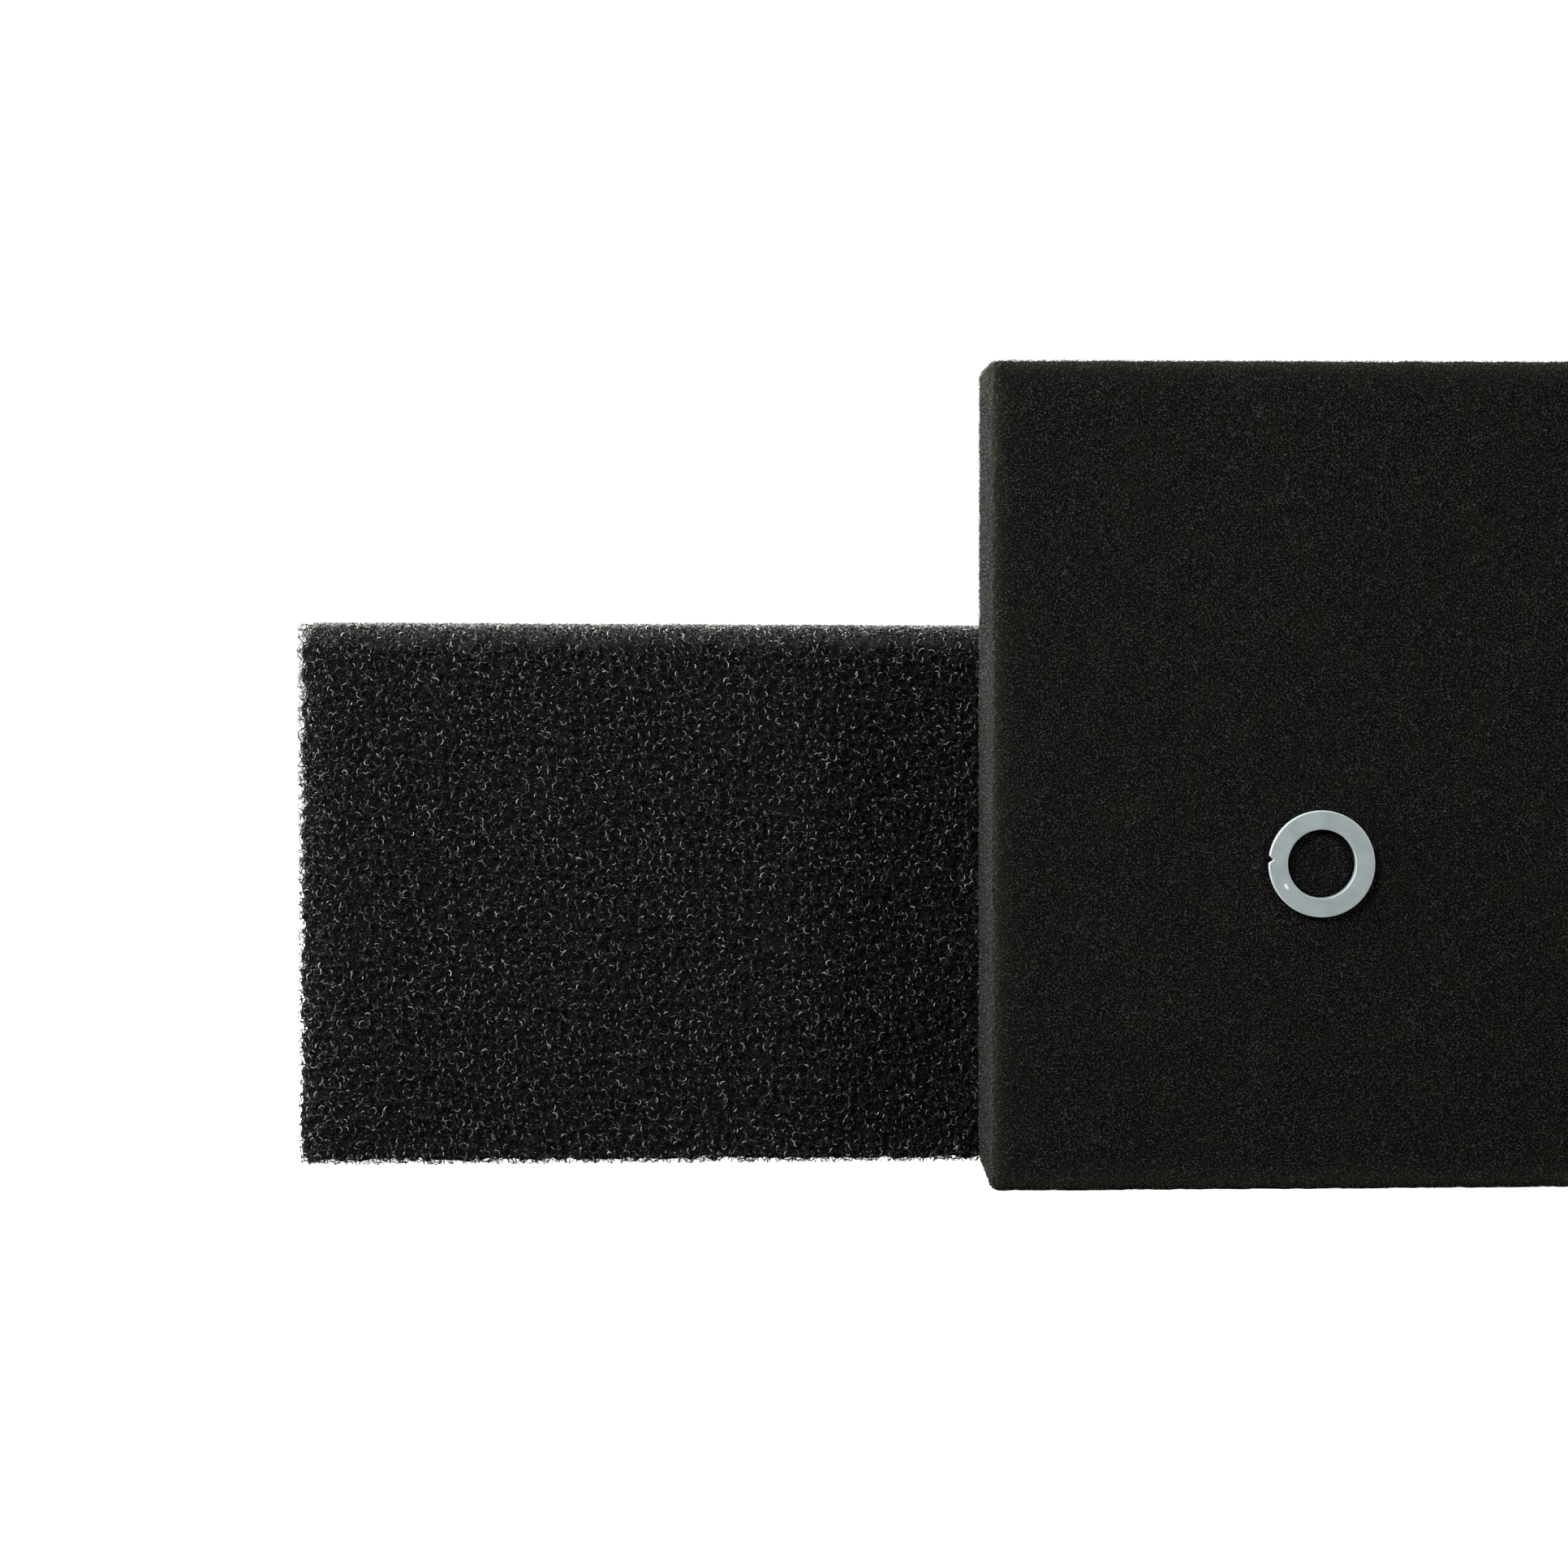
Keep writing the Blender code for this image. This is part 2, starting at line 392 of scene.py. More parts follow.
class Finish:
    """One material and the nodes that feed its Principled shader."""

    def __init__(self, name):
        self.material = bpy.data.materials.new(name)
        self.material.use_nodes = True
        self.tree = self.material.node_tree
        self.shader = self.tree.nodes["Principled BSDF"]

    def plug(self, socket, value):
        """Link a wire to a socket, or set the socket's own value."""
        if isinstance(value, Wire):
            self.tree.links.new(value.socket, socket)
        elif hasattr(value, "__len__") and socket.type == "RGBA" and len(value) == 3:
            socket.default_value = (*value, 1.0)
        else:
            socket.default_value = value

    def node(self, kind, settings=None, sockets=None, output=0):
        """Add a node, give it its settings first and then its sockets' values or links."""
        node = self.tree.nodes.new(kind)
        for name, value in (settings or {}).items():
            setattr(node, name, value)
        for name, value in (sockets or {}).items():
            self.plug(node.inputs[name], value)
        return Wire(self, node.outputs[output])

    def place(self):
        """The point being shaded, in the object's own coordinates."""
        return self.node("ShaderNodeTexCoord", output="Object")

    def mark(self, name):
        """A value that the mesh holds for each of its points."""
        return self.node("ShaderNodeAttribute", {"attribute_name": name}, output="Fac")

    def noise(self, place, width, detail=2.0, roughness=0.5):
        """Soft noise from 0 to 1 with lumps of about this width."""
        sockets = {
            "Vector": place, "Scale": 1 / width, "Detail": detail, "Roughness": roughness
        }
        return self.node("ShaderNodeTexNoise", {}, sockets)

    def cell_walls(self, place, width):
        """Distance to the nearest wall between cells of about this width."""
        settings = {"feature": "DISTANCE_TO_EDGE"}
        sockets = {"Vector": place, "Scale": 1 / width}
        return self.node("ShaderNodeTexVoronoi", settings, sockets, "Distance")

    def offsets(self, place, centre, turn):
        """Distances from a centre in the XZ plane, across and along a turned line."""
        settings = {"vector_type": "POINT"}
        sockets = {"Vector": place, "Location": tuple(-c for c in centre)}
        moved = self.node("ShaderNodeMapping", settings, sockets)
        split = self.tree.nodes.new("ShaderNodeSeparateXYZ")
        self.plug(split.inputs[0], moved)
        x, z = Wire(self, split.outputs["X"]), Wire(self, split.outputs["Z"])
        return x * -math.sin(turn) + z * math.cos(turn), x * math.cos(turn) + z * math.sin(turn)

    def mixed(self, share, first, second):
        """A colour between two colours."""
        settings = {"data_type": "RGBA", "clamp_factor": True}
        sockets = {0: share, 6: first, 7: second}
        return self.node("ShaderNodeMix", settings, sockets, output=2)

    def bumped(self, height, depth, strength):
        """A normal bent by a height that is worth this depth."""
        sockets = {"Height": height, "Distance": depth, "Strength": strength}
        return self.node("ShaderNodeBump", {}, sockets, "Normal")

    def surface(self, **values):
        """Set the Principled shader's inputs, with underscores for spaces in their names."""
        for name, value in values.items():
            self.plug(self.shader.inputs[name.replace("_", " ")], value)
        return self.material


def coarse_strand_finish(settings):
    """Black foam strands: glossy, some of them paler as painted highlights, and olive grey at the
    slab's edges as painted light.
    """
    finish = Finish("coarse_strands")
    place = finish.place()
    edge, highlight_tone = finish.mark("lit_edge"), finish.mark("highlight_tone")
    grain = finish.noise(place, 0.8 * MM, detail=1.0)
    # Painted highlights: paler strands stand in for glints, faded with depth as painted shade.
    body = finish.mixed(highlight_tone, settings.color, settings.glint_color)
    return finish.surface(
        # Painted light: strands near the slab's edges are paler and olive grey.
        Base_Color=finish.mixed(edge * (0.15 + grain * 0.5), body, settings.lit_edge_color),
        Roughness=0.20 + grain * 0.22,
        Specular_IOR_Level=0.38,
    )


def coarse_rim_finish(settings):
    """Rims of the cut pores: glossy, from black to pale grey as painted highlights, olive grey at
    the slab's edges as painted light.
    """
    finish = Finish("coarse_rims")
    place = finish.place()
    edge, highlight_tone = finish.mark("lit_edge"), finish.mark("highlight_tone")
    grain = finish.noise(place, 0.8 * MM, detail=1.0)
    # Painted highlights: pale rims stand in for light caught by the pores' rims.
    body = finish.mixed(highlight_tone, settings.color, settings.rim_color)
    return finish.surface(
        # Painted light: the palest rims turn paler and olive grey near the slab's edges.
        Base_Color=finish.mixed(edge * highlight_tone, body, settings.lit_edge_rim_color),
        Roughness=0.20 + grain * 0.2,
        Specular_IOR_Level=0.5,
    )


def coarse_core_finish(settings):
    """The foam's depth: nearly black, with faint strands lost in the dark."""
    finish = Finish("coarse_depth")
    place = finish.place()
    wall = finish.cell_walls(place, 2.6 * MM)
    strand = 1 - wall.above(0.03, 0.10)
    return finish.surface(
        Base_Color=finish.mixed(strand, settings.color, settings.core_color),
        Roughness=0.9,
        Specular_IOR_Level=0.05,
        Normal=finish.bumped(strand, 0.4 * MM, 1.0),
    )


def fine_block_finish(settings):
    """The fine foam under its cut strands: grainy, with dark pores, pale flecks as painted
    highlights and greyer edges as painted light.
    """
    finish = Finish("fine_depth")
    place = finish.place()
    edge = finish.mark("lit_edge")
    grain = finish.noise(place, 0.50 * MM, detail=1.0, roughness=0.6)
    # Painted highlights: the pale flecks stand in for glints on strands.
    fleck = grain.above(0.50, 0.20)
    blotch = finish.noise(place, 11 * MM, detail=3.0).above(0.45, 0.25)
    pores = finish.mixed(blotch, settings.color, settings.tint)
    body = finish.mixed(fleck, pores, settings.core_color)
    return finish.surface(
        # Painted light: the block is paler and olive grey near its edges.
        Base_Color=finish.mixed(edge * (0.22 + fleck * 0.6), body, settings.lit_edge_color),
        Roughness=0.9,
        Specular_IOR_Level=0.0,
        Normal=finish.bumped(fleck, 0.3 * MM, 1.0),
    )


def fine_strand_finish(settings):
    """Cut strands of the fine foam: black, a few paler as painted highlights, and olive grey at the
    edges as painted light.
    """
    finish = Finish("fine_strands")
    place = finish.place()
    edge, highlight_tone = finish.mark("lit_edge"), finish.mark("highlight_tone")
    blotch = finish.noise(place, 14 * MM, detail=3.0)
    grain = finish.noise(place, 0.7 * MM, detail=1.0)
    # Painted highlights: paler strands stand in for glints, faded with depth as painted shade.
    body = finish.mixed(highlight_tone * (0.6 + blotch * 0.8), settings.color, settings.strand_glint_color)
    return finish.surface(
        # Painted light: strands near the edges are paler and olive grey.
        Base_Color=finish.mixed(edge * (0.25 + grain * 0.6), body, settings.lit_edge_color),
        Roughness=0.24 + grain * 0.3,
        Specular_IOR_Level=0.5,
    )


def ring_finish(settings, centre):
    """Milky plastic: satin, with faint moulding clouds, thin pale edges as painted highlights and
    one small painted glint.
    """
    finish = Finish("ring_plastic")
    place = finish.place()
    rim = finish.mark("rim")
    cloud = finish.noise(place, 7 * MM, detail=3.0)
    fine = finish.noise(place, 0.6 * MM, detail=2.0)
    shade = tuple(0.84 * c for c in settings.color)
    body = finish.mixed(cloud.above(0.3, 0.4), shade, settings.color)
    # Painted highlight: a small pale glint on the flange's face, stretched along the ring.
    across, along = finish.offsets(place, centre + [-10.8 * MM, 0, -6.7 * MM], math.radians(-60))
    spot = (across / (0.55 * MM)) ** 2 + (along / (1.15 * MM)) ** 2
    glint = (1 - spot).above(0.0, 0.5)
    marked = finish.mixed(glint, body, (0.62, 0.66, 0.66))
    return finish.surface(
        # Painted highlight on the ring's two rounded front edges.
        Base_Color=finish.mixed(rim, marked, settings.rim_color),
        Roughness=settings.roughness - 0.06 + fine * 0.12,
        Subsurface_Weight=0.2,
        Subsurface_Scale=1.5 * MM,
        Normal=finish.bumped(fine, 0.02 * MM, 0.4),
    )


def floor_finish():
    """A plain white floor that is bright enough to lose its shadows."""
    finish = Finish("white_floor")
    return finish.surface(
        Base_Color=(0.9, 0.9, 0.9), Roughness=0.9, Specular_IOR_Level=0.0,
        Emission_Color=(1.0, 1.0, 1.0), Emission_Strength=1.0,
    )


# --- meshes -----------------------------------------------------------------

def put_mesh(name, points, faces, finish, bake_map=None, marks=None):
    """Make an object from an array of points and an array of faces of equal corner count.

    bake_map gives each point its place on a flat map, from 0 to 1, and marks
    holds named values for the points that the finish reads.
    """
    mesh = bpy.data.meshes.new(name)
    corners = faces.shape[1]
    mesh.vertices.add(len(points))
    mesh.vertices.foreach_set("co", points.astype(np.float32).ravel())
    mesh.loops.add(faces.size)
    mesh.loops.foreach_set("vertex_index", faces.astype(np.int32).ravel())
    mesh.polygons.add(len(faces))
    mesh.polygons.foreach_set("loop_start", np.arange(0, faces.size, corners, dtype=np.int32))
    mesh.polygons.foreach_set("use_smooth", np.full(len(faces), True))
    if bake_map is not None:
        layer = mesh.uv_layers.new(name="OFBake")
        layer.uv.foreach_set("vector", bake_map[faces.ravel()].astype(np.float32).ravel())
    for mark, values in (marks or {}).items():
        attribute = mesh.attributes.new(mark, "FLOAT", "POINT")
        attribute.data.foreach_set("value", values.astype(np.float32))
    mesh.update(calc_edges=True)
    mesh.validate()
    mesh.materials.append(finish)
    obj = bpy.data.objects.new(name, mesh)
    bpy.context.scene.collection.objects.link(obj)
    return obj


def soft_noise(points, width, seed):
    """Smooth noise from -1 to 1 with lumps of this width.

    Random values on a cubic lattice that repeats, blended between the eight
    lattice points around each point with a smooth step.
    """
    lattice = np.random.default_rng(seed).uniform(-1, 1, (LATTICE, LATTICE, LATTICE))
    at = points / width
    low = np.floor(at).astype(int)
    part = at - low
    part = part * part * (3 - 2 * part)
    total = np.zeros(len(points))
    for corner in np.ndindex(2, 2, 2):
        step = np.array(corner)
        share = np.where(step, part, 1 - part).prod(axis=1)
        index = (low + step) % LATTICE
        total += share * lattice[index[:, 0], index[:, 1], index[:, 2]]
    return total


def cell_corners(around):
    """Centres of the empty spheres through the origin and three of the points around it.

    around holds, for each cell, the places of its nearest cells relative to
    it. A sphere through the cell and three neighbours that no other neighbour
    is inside has its centre at a corner of the cell. Returns the cell, the
    three neighbours and the centre of each.
    """
    near = around.shape[1]
    trio = np.array([(a, b, c) for a in range(near) for b in range(a) for c in range(b)])
    square = (around ** 2).sum(-1)
    a, b, c = (around[:, trio[:, k]] for k in range(3))
    bc, ca, ab = np.cross(b, c), np.cross(c, a), np.cross(a, b)
    volume = 2 * (a * bc).sum(-1)
    solid = np.abs(volume) > 1e-3 * square.mean() ** 1.5
    weights = [square[:, trio[:, k], None] for k in range(3)]
    centre = weights[0] * bc + weights[1] * ca + weights[2] * ab
    centre = centre / np.where(solid, volume, 1.0)[..., None]
    clear = square[:, None] - 2 * centre @ around.transpose(0, 2, 1)
    cell, which = np.nonzero(solid & (clear.min(-1) > -1e-9 * square.mean()))
    return cell, trio[which], centre[cell, which]


def cell_network(counts, cell, disorder, seed):
    """The edges between foam cells, for a block that repeats along every axis.

    Cell centres are a body-centred stack, each moved at random. Every face
    of three cells shared by two neighbouring corners is one edge. Returns the
    edges' starts and ends and the size of the block.
    """
    rng = np.random.default_rng(seed)
    pitch = 2 ** (1 / 3) * cell
    size = np.array(counts) * pitch
    stack = np.indices(counts).reshape(3, -1).T
    centres = np.concatenate([stack, stack + 0.5]) * pitch
    centres += rng.uniform(-disorder, disorder, centres.shape) * pitch
    starts, ends = [], []
    for first in range(0, len(centres), CELLS_AT_ONCE):
        here = centres[first:first + CELLS_AT_ONCE]
        gap = centres[None] - here[:, None]
        gap -= size * np.round(gap / size)
        nearest = np.argsort((gap ** 2).sum(-1), axis=1)[:, 1:NEAR_CELLS + 1]
        around = np.take_along_axis(gap, nearest[..., None], axis=1)
        owner, trio, corner = cell_corners(around)
        pair = np.concatenate([trio[:, [0, 1]], trio[:, [0, 2]], trio[:, [1, 2]]])
        owner, corner = np.tile(owner, 3), np.tile(corner, (3, 1))
        key = (owner * NEAR_CELLS + pair[:, 0]) * NEAR_CELLS + pair[:, 1]
        order = np.argsort(key, kind="stable")
        key, owner, pair, corner = key[order], owner[order], pair[order], corner[order]
        met = np.nonzero(key[1:] == key[:-1])[0]
        mine = first + owner[met]
        others = nearest[owner[met][:, None], pair[met]]
        once = (mine[:, None] < others).all(1)
        met, mine = met[once], mine[once]
        starts.append(centres[mine] + corner[met])
        ends.append(centres[mine] + corner[met + 1])
    return np.concatenate(starts), np.concatenate(ends), size


def filled(starts, ends, size, low, high, margin=0.0, held=None):
    """Copies of a repeating block's edges that fill the box from low to high.

    Their middles may lie outside it by the margin. They aren't repeated along
    the held axis, where they lie in the box already.
    """
    counts = np.ceil((high - low) / size).astype(int) + 2
    if held is not None:
        counts[held] = 1
    shifts = (np.indices(counts).reshape(3, -1).T - 1) * size + low
    if held is not None:
        shifts[:, held] = 0
    starts = (starts[None] + shifts[:, None]).reshape(-1, 3)
    ends = (ends[None] + shifts[:, None]).reshape(-1, 3)
    middle = (starts + ends) / 2
    inside = ((middle >= low - margin) & (middle <= high + margin)).all(1)
    return starts[inside], ends[inside]


def sliced(starts, ends, size, axis, low, high, slab):
    """A thin slice of a repeating block's edges, repeated over a thin box.

    The slice starts at slab along the axis, and is as thick as the box.
    """
    middle = (starts + ends) / 2
    at = (middle[:, axis] - slab) % size[axis]
    thin = at < high[axis] - low[axis]
    move = np.zeros((thin.sum(), 3))
    move[:, axis] = low[axis] + at[thin] - middle[thin, axis]
    return filled(starts[thin] + move, ends[thin] + move, size, low, high, held=axis)


def drifted(points, width, reach, seed):
    """Points moved by soft noise, so that a repeated block doesn't show.

    reach is how far along each axis.
    """
    drift = [soft_noise(points, width, seed + axis) for axis in range(3)]
    return points + np.stack(drift, axis=1) * reach


def trimmed(starts, ends, low, high):
    """Lines cut off where they leave a box, without those that lie outside it.

    Each line is walked from 0 to 1, and the shares at which it enters and
    leaves each pair of the box's planes are kept. low and high may differ
    from line to line.
    """
    run = ends - starts
    run = np.where(np.abs(run) < 1e-9, 1e-9, run)
    one, two = (low - starts) / run, (high - starts) / run
    enter = np.minimum(one, two).max(1).clip(0, 1)
    leave = np.maximum(one, two).min(1).clip(0, 1)
    kept = leave > enter
    first = (starts + run * enter[:, None])[kept]
    last = (starts + run * leave[:, None])[kept]
    return first, last


def lengths(lines):
    """The length of each row."""
    return np.linalg.norm(lines, axis=1)


def units(lines):
    """Each row divided by its length."""
    return lines / lengths(lines)[:, None]


def strand_mesh(starts, ends, width, rng):
    """Points and faces of slim closed strands, four corners and four faces each.

    A strand has a short edge at each end, square to the strand and to each
    other, so it is thin in the middle and widens where strands meet. The
    edges' turn about the strand is random.
    """
    along = units(ends - starts)
    side = units(np.cross(along, rng.normal(size=along.shape)))
    other = np.cross(along, side)
    half = (width / 2)[:, None]
    points = np.stack(
        [starts + side * half, starts - side * half, ends + other * half, ends - other * half],
        axis=1,
    )
    corners = np.array([[0, 3, 1], [1, 2, 0], [2, 1, 3], [3, 0, 2]])
    first = np.arange(len(starts))[:, None, None] * STRAND_POINTS
    faces = (first + corners[None]).reshape(-1, 3)
    return points.reshape(-1, 3), faces


def rod_mesh(centres, across, up, radii, first, span, width):
    """Points and triangles of thin bent rods, one for each centre.

    A rod follows a circle of its radius in the plane of two unit directions,
    across and up, from its first angle over its span. Its three-sided section
    lies between the circle's outward direction and the plane's normal, and
    shrinks towards both ends.
    """
    share = np.linspace(0, 1, RIM_STEPS + 1)
    angle = first[:, None] + span[:, None] * share
    out = across[:, None] * np.cos(angle)[..., None] + up[:, None] * np.sin(angle)[..., None]
    normal = np.cross(across, up)[:, None]
    path = centres[:, None] + out * radii[:, None, None]
    swell = ROD_TIP + (1 - ROD_TIP) * np.sin(math.pi * share) ** 0.5
    thick = swell * width[:, None] / 2
    corner = np.arange(3) * 2 * math.pi / 3
    points = np.stack(
        [path + thick[..., None] * (out * math.cos(c) + normal * math.sin(c)) for c in corner],
        axis=2,
    )
    sides = triangles(band((RIM_STEPS + 1, 3))[:, ::-1])
    last = ROD_POINTS - 3
    rod = np.concatenate([sides, [[0, 1, 2], [last + 2, last + 1, last]]])
    faces = (np.arange(len(centres))[:, None, None] * ROD_POINTS + rod[None]).reshape(-1, 3)
    return points.reshape(-1, 3), faces


def box_grid(low, high, steps):
    """Points and quads of a closed box whose faces are even grids.

    The points are those of a lattice of steps[0] x steps[1] x steps[2] cells
    that lie on its outside, and each side of the box takes its quads from
    them. Returns the points and faces.
    """
    steps = np.array(steps)
    index = np.full(steps + 1, -1)
    lattice = np.indices(steps + 1).reshape(3, -1).T
    outside = ((lattice == 0) | (lattice == steps)).any(1)
    shell = lattice[outside]
    index[tuple(shell.T)] = np.arange(len(shell))
    quads = []
    for axis in range(3):
        u, v = (axis + 1) % 3, (axis + 2) % 3
        rows, columns = np.meshgrid(np.arange(steps[u]), np.arange(steps[v]), indexing="ij")
        for end in (0, 1):
            ring = ((0, 0), (1, 0), (1, 1), (0, 1)) if end else ((0, 0), (0, 1), (1, 1), (1, 0))
            corner = []
            for du, dv in ring:
                at = [None] * 3
                at[axis] = np.full(rows.shape, end * steps[axis])
                at[u], at[v] = rows + du, columns + dv
                corner.append(index[tuple(at)].ravel())
            quads.append(np.stack(corner, axis=1))
    points = low + (high - low) * shell / steps
    return points, np.concatenate(quads)


def triangles(quads):
    """Two triangles for each quad."""
    return np.concatenate([quads[:, [0, 1, 2]], quads[:, [0, 2, 3]]])


def band(rows, closed=False):
    """Quads between rows of points: rows x columns points, each row a closed loop.

    closed joins the last row to the first.
    """
    count, columns = rows
    row = np.arange(count if closed else count - 1)[:, None]
    column = np.arange(columns)[None]
    below, after = (row + 1) % count, (column + 1) % columns
    corners = [row * columns + column, row * columns + after,
               below * columns + after, below * columns + column]
    return np.stack([np.broadcast_to(c, (len(row), columns)) for c in corners], -1).reshape(-1, 4)


def welded(points, faces):
    """Triangles with coinciding points joined, without flattened ones and unused points."""
    key = np.round(points / WELD).astype(np.int64)
    first, index = np.unique(key, axis=0, return_index=True, return_inverse=True)[1:]
    faces = index.reshape(-1)[faces]
    whole = (faces != np.roll(faces, 1, axis=1)).all(1)
    used, faces = np.unique(faces[whole], return_inverse=True)
    return points[first][used], faces.reshape(-1, 3)


def facing_out(points, faces):
    """The faces of a closed mesh, turned round if they enclose a negative volume."""
    a, b, c = (points[faces[:, k]] for k in range(3))
    volume = (a * np.cross(b, c)).sum()
    return faces if volume > 0 else faces[:, ::-1]


def square_to_round(p, q):
    """Places in a square corner, moved so that the corner becomes a quarter circle.

    p and q run to 1 (or -1) at the two sides, and each shrinks by the root of
    one less half the other's square.
    """
    return p * np.sqrt(1 - q * q / 2), q * np.sqrt(1 - p * p / 2)


def worn(points, low, high, corner, edge):
    """A box's points with round corners in the XZ plane and soft edges at front and back.

    Returns the moved points and the way out of the surface at each, which is
    zero in the box's depth.
    """
    sides, low_sides, high_sides = points[:, [0, 2]], low[[0, 2]], high[[0, 2]]
    inner = np.clip(sides, low_sides + corner, high_sides - corner)
    reach = (sides - inner) / corner
    reach = np.stack(square_to_round(*reach.T), axis=1)
    length = lengths(reach)
    way = reach / np.maximum(length, 1e-9)[:, None]
    middle = (low[1] + high[1]) / 2
    face = np.sign(points[:, 1] - middle)
    shelf = (high[1] - low[1]) / 2 - np.abs(points[:, 1] - middle)
    p = np.clip(1 - corner * (1 - length) / edge, 0, 1)
    q = np.clip(1 - shelf / edge, 0, 1)
    new_p, new_q = square_to_round(p, q)
    sides = inner + corner * reach - way * (edge * (p - new_p))[:, None]
    y = points[:, 1] - face * edge * (q - new_q)
    out = np.stack([way[:, 0] * new_p, face * new_q, way[:, 1] * new_p], axis=1)
    out /= np.maximum(lengths(out), 1e-9)[:, None]
    return np.stack([sides[:, 0], y, sides[:, 1]], axis=1), out


def edge_closeness(points, low, high, reach):
    """1 on the edges of a box and 0 well away from them, fading over this reach."""
    nearest = np.sort(np.minimum(points - low, high - points).clip(0), axis=1)
    return np.exp(-(nearest[:, 1] / reach) ** 1.5)


def corners_of(node):
    """A CAD node's lowest and highest corners as arrays."""
    low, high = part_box(node)
    return np.array(low), np.array(high)


# --- pieces -----------------------------------------------------------------

def finish_piece(obj, body, slot, node=None, fill=None):
    """Attach a piece to what it rides on and hide the CAD node it stands for; slot and fill are not
    used.
    """
    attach(obj, body)
    if node:
        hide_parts(node)


def wall_depths(settings):
    """Open depth of the coarse foam behind its low and high faces along X, Y and Z."""
    low = np.array([settings.outer_depth, settings.front_depth, settings.base_depth])
    high = np.array([settings.inner_depth, settings.back_depth, settings.top_depth])
    return low, high


def coarse_strands(settings, low, high):
    """Starts and ends of the coarse foam's strands, trimmed to the slab and without its core."""
    rng = np.random.default_rng(settings.seed)
    network = cell_network(COARSE_BLOCK, settings.cell, settings.disorder, settings.seed)
    starts, ends = filled(*network, low, high, margin=network[2].min() * COARSE_MARGIN)
    starts, ends = (drifted(at, *COARSE_DRIFT, settings.seed) for at in (starts, ends))
    low_depth, high_depth = wall_depths(settings)
    open_part = np.zeros(len(starts), bool)
    for at in (starts, ends):
        open_part |= ((at < low + low_depth) | (at > high - high_depth)).any(1)
    open_part &= lengths(ends - starts) < settings.cell
    from_front, from_back = starts[:, 1] - low[1], high[1] - starts[:, 1]
    deep = (from_front > FULL_FRONT) & (from_back > FULL_BACK)
    open_part &= ~deep | (rng.random(len(deep)) < SIDE_SHARE)
    starts, ends = starts[open_part], ends[open_part]
    uneven = rng.uniform(0, settings.raggedness, starts.shape)
    starts, ends = trimmed(starts, ends, low + uneven, high - uneven)
    kept = lengths(ends - starts) > SHORTEST_STRAND * settings.cell
    shape = low, high, settings.slant
    return slanted(starts[kept], *shape), slanted(ends[kept], *shape)


def coarse_regions(starts, ends, low, high, settings):
    """Which face of the slab each strand belongs to, as (name, mask, axis)."""
    low_depth, high_depth = wall_depths(settings)
    middle = (starts + ends) / 2
    free = np.ones(len(middle), bool)
    for name, axis, far in FACES:
        if far:
            near_face = middle[:, axis] > (high - high_depth)[axis]
        else:
            near_face = middle[:, axis] < (low + low_depth)[axis]
        yield name, free & near_face, axis
        free &= ~near_face


def flat_map(points, axis):
    """Each point's place from 0 to 1 as seen along one axis."""
    seen = points[:, [a for a in range(3) if a != axis]]
    return (seen - seen.min(0)) / np.ptp(seen, axis=0)


def slanted(points, low, high, slant):
    """Points of the coarse foam lowered in step with height, most at its inner end."""
    share = (points[:, 0] - low[0]) / (high[0] - low[0]) * (points[:, 2] - low[2])
    points = points.copy()
    points[:, 2] -= share * slant / (high[2] - low[2])
    return points


def put_foam_piece(name, points, faces, highlight_tone, finish, box, axis, home):
    """One piece of many small closed shapes, with the marks that its finish reads.

    home is the body that it rides on and its slot.
    """
    # The edge mark carries the painted light on the box's edges.
    marks = {"lit_edge": edge_closeness(points, *box, LIT_EDGE_REACH), "highlight_tone": highlight_tone}
    piece = put_mesh(name, points, faces, finish, flat_map(points, axis), marks)
    finish_piece(piece, *home, fill=1.0)


def put_strands(name, starts, ends, settings, finish, box, axis, home, rng):
    """Strands as one piece or more, in bands of equal count along the face.

    Each strand has a tone of its own from 0 to 1, a painted highlight, which
    fades with its depth in the foam as painted shade. Soft noise as wide as a
    strand is long lets neighbours share it.
    """
    low, high = box
    along = 1 if axis == 0 else 0
    order = np.argsort(starts[:, along], kind="stable")
    count = max(1, math.ceil(len(order) / STRANDS_PER_PIECE))
    for number, part in enumerate(np.array_split(order, count), 1):
        width = settings.strand * rng.uniform(*UNEQUAL, len(part))
        points, faces = strand_mesh(starts[part], ends[part], width, rng)
        middle = (starts[part] + ends[part]) / 2
        depth = np.minimum(middle - low, high - middle).min(axis=1)
        lump = soft_noise(middle, settings.patch, settings.seed + SEED_STEPS["tones"])
        highlight_tone = ((lump - settings.rarity) / TONE_SPAN).clip(0, 1) * rng.uniform(*TONES, len(part))
        # Painted shade: the painted highlight fades with the strand's depth in the foam.
        highlight_tone = np.repeat(highlight_tone * np.exp(-depth / HIGHLIGHT_SHADE_DEPTH), STRAND_POINTS)
        points = np.clip(points, low, high)
        put_foam_piece(f"{name}_{number}", points, faces, highlight_tone, finish, box, axis, home)


def make_coarse_foam(settings):
    """The coarse foam's strands, in pieces by face, its pores' rims and its dark core."""
    box = low, high = corners_of("coarse_sponge")
    rng = np.random.default_rng(settings.seed + SEED_STEPS["coarse_strands"])
    finish = coarse_strand_finish(settings)
    starts, ends = coarse_strands(settings, low, high)
    for name, mask, axis in coarse_regions(starts, ends, low, high, settings):
        strands = starts[mask], ends[mask]
        label = f"coarse_strands_{name}"
        put_strands(label, *strands, settings, finish, box, axis, COARSE_HOME, rng)
    make_coarse_rims(settings, box)
    make_coarse_core(settings, box)


